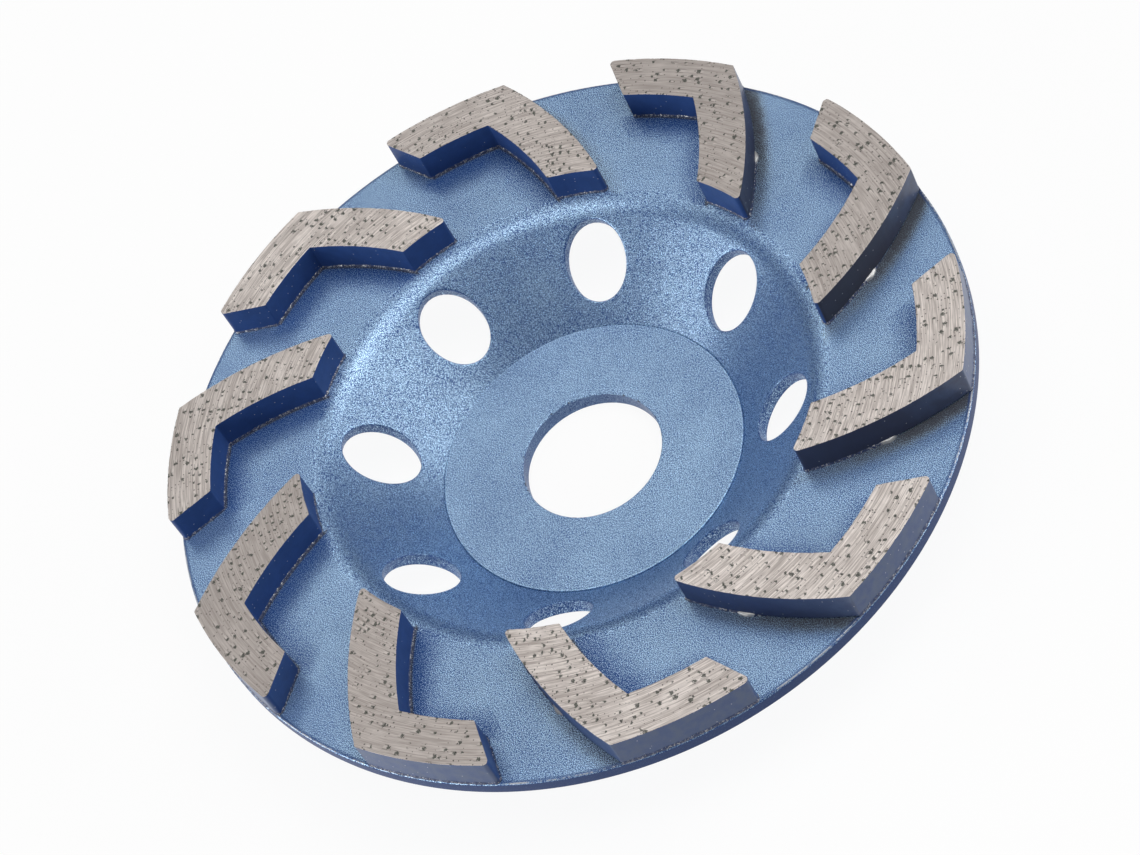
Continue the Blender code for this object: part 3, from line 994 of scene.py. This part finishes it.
def aim(thing, place, target, roll=0.0):
    """Put a camera or lamp at a place, looking at a target, turned about its own line of sight."""
    look = (place - target).to_track_quat("Z", "Y").to_matrix().to_4x4()
    thing.matrix_world = Matrix.Translation(place) @ look @ Matrix.Rotation(roll, 4, "Z")


def direction(azimuth, elevation):
    """Unit vector from the wheel to a place. Azimuth 0 is the side of -Y, 90 degrees that of +X."""
    level = math.cos(elevation)
    return Vector((math.sin(azimuth) * level, -math.cos(azimuth) * level, math.sin(elevation)))


def make_camera(stage):
    """The camera at the photograph's angle, with its picture turned as there."""
    camera = bpy.data.objects.new("camera", bpy.data.cameras.new("camera"))
    bpy.context.scene.collection.objects.link(camera)
    camera.data.sensor_width = 36
    camera.data.lens = stage.lens
    camera.data.clip_start, camera.data.clip_end = 0.01, 20
    target = Vector((stage.target_x, -stage.target_back, SEGMENT_BOX[1].z))
    place = target + direction(stage.camera_azimuth, stage.camera_elevation) * stage.camera_distance
    aim(camera, place, target, stage.camera_roll)
    bpy.context.scene.camera = camera


def make_lamp(name, azimuth, elevation, size, power):
    """A soft rectangular lamp that faces the wheel, at a direction in degrees."""
    lamp = bpy.data.objects.new(name, bpy.data.lights.new(name, "AREA"))
    bpy.context.scene.collection.objects.link(lamp)
    lamp.data.shape = "RECTANGLE"
    lamp.data.size, lamp.data.size_y = size
    lamp.data.energy = power
    place = direction(math.radians(azimuth), math.radians(elevation)) * LAMP_DISTANCE
    aim(lamp, place, Vector((0, 0, 0.01)))


def make_world(stage):
    """Even light from all round, which the camera sees as white."""
    world = bpy.data.worlds.new("studio")
    world.use_nodes = True
    nodes, links = world.node_tree.nodes, world.node_tree.links
    mix = nodes.new("ShaderNodeMixShader")
    links.new(nodes.new("ShaderNodeLightPath").outputs["Is Camera Ray"], mix.inputs[0])
    lights = nodes["Background"], nodes.new("ShaderNodeBackground")
    for light, level, socket in zip(lights, (stage.world_level, 1), mix.inputs[1:]):
        light.inputs["Color"].default_value = (1, 1, 1, 1)
        light.inputs["Strength"].default_value = level
        links.new(light.outputs[0], socket)
    links.new(mix.outputs[0], nodes["World Output"].inputs["Surface"])
    return world


def make_stage(stage):
    """Camera, five soft lamps, an even world and a plain floor under the hub."""
    scene = bpy.context.scene
    scene.view_settings.view_transform = "Standard"
    make_camera(stage)
    for name, azimuth, elevation, *size in LAMPS:
        make_lamp(f"lamp_{name}", azimuth, elevation, size, getattr(stage, f"{name}_power"))
    scene.world = make_world(stage)

    across = np.linspace(-FLOOR_HALF, FLOOR_HALF, 9)
    x, y = np.meshgrid(across, across, indexing="ij")
    points = np.stack([x, y, np.full_like(x, -FLOOR_DROP)], axis=-1).reshape(-1, 3)
    mesh = bpy.data.meshes.new("floor")
    mesh.from_pydata(points, [], grid_faces(len(across), len(across)).tolist())
    mesh.materials.append(floor_finish())
    floor = bpy.data.objects.new("floor", mesh)
    scene.collection.objects.link(floor)


# Operators and panel


class CUPWHEEL_OT_body(bpy.types.Operator):
    """Build the painted steel cup"""

    bl_idname = "cupwheel.body"
    bl_label = "Cup body"

    def execute(self, context):
        scene = context.scene
        piece = make_cup_body(scene.cup_segment, scene.cup_body, scene.cup_finish)
        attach(piece, "root")
        return {"FINISHED"}


class CUPWHEEL_OT_segments(bpy.types.Operator):
    """Build the diamond segments"""

    bl_idname = "cupwheel.segments"
    bl_label = "Diamond segments"

    def execute(self, context):
        scene = context.scene
        for piece in make_segments(scene.cup_segment, scene.cup_body, scene.cup_finish):
            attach(piece, "root")
        return {"FINISHED"}


class CUPWHEEL_OT_braze(bpy.types.Operator):
    """Fill the joints under the segments with braze"""

    bl_idname = "cupwheel.braze"
    bl_label = "Braze"

    def execute(self, context):
        scene = context.scene
        pieces = make_braze(scene.cup_segment, scene.cup_body, scene.cup_braze, scene.cup_finish)
        for piece in pieces:
            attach(piece, "root")
        return {"FINISHED"}


class CUPWHEEL_OT_stage(bpy.types.Operator):
    """Set the floor, the lamps and the camera"""

    bl_idname = "cupwheel.stage"
    bl_label = "Stage"

    def execute(self, context):
        make_stage(context.scene.cup_stage)
        return {"FINISHED"}


class CUPWHEEL_PT_panel(bpy.types.Panel):
    """The wheel's sizes, finishes and steps in the sidebar"""

    bl_idname = "CUPWHEEL_PT_panel"
    bl_label = "Diamond cup wheel"
    bl_space_type = "VIEW_3D"
    bl_region_type = "UI"
    bl_category = "Cup Wheel"

    def draw(self, context):
        for group, operator in STEPS:
            box = self.layout.box()
            settings = getattr(context.scene, group)
            for name in type(settings).__annotations__:
                box.prop(settings, name)
            if operator:
                box.operator(operator)


GROUPS = {
    "cup_body": CupWheelBody,
    "cup_segment": CupWheelSegment,
    "cup_braze": CupWheelBraze,
    "cup_finish": CupWheelFinish,
    "cup_stage": CupWheelStage,
}
STEPS = (
    ("cup_finish", None),
    ("cup_body", "cupwheel.body"),
    ("cup_segment", "cupwheel.segments"),
    ("cup_braze", "cupwheel.braze"),
    ("cup_stage", "cupwheel.stage"),
)
CLASSES = (
    *GROUPS.values(),
    CUPWHEEL_OT_body,
    CUPWHEEL_OT_segments,
    CUPWHEEL_OT_braze,
    CUPWHEEL_OT_stage,
    CUPWHEEL_PT_panel,
)


def register():
    """Add the classes, and one property group of each kind to the scene."""
    for cls in CLASSES:
        bpy.utils.register_class(cls)
    for name, group in GROUPS.items():
        setattr(bpy.types.Scene, name, bpy.props.PointerProperty(type=group))


def unregister():
    """Take the property groups and the classes out again."""
    for name in GROUPS:
        delattr(bpy.types.Scene, name)
    for cls in reversed(CLASSES):
        bpy.utils.unregister_class(cls)


def main():
    """Register the add-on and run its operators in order."""
    register()
    bpy.ops.cupwheel.stage()
    bpy.ops.cupwheel.body()
    bpy.ops.cupwheel.segments()
    bpy.ops.cupwheel.braze()


if __name__ == "__main__":
    main()
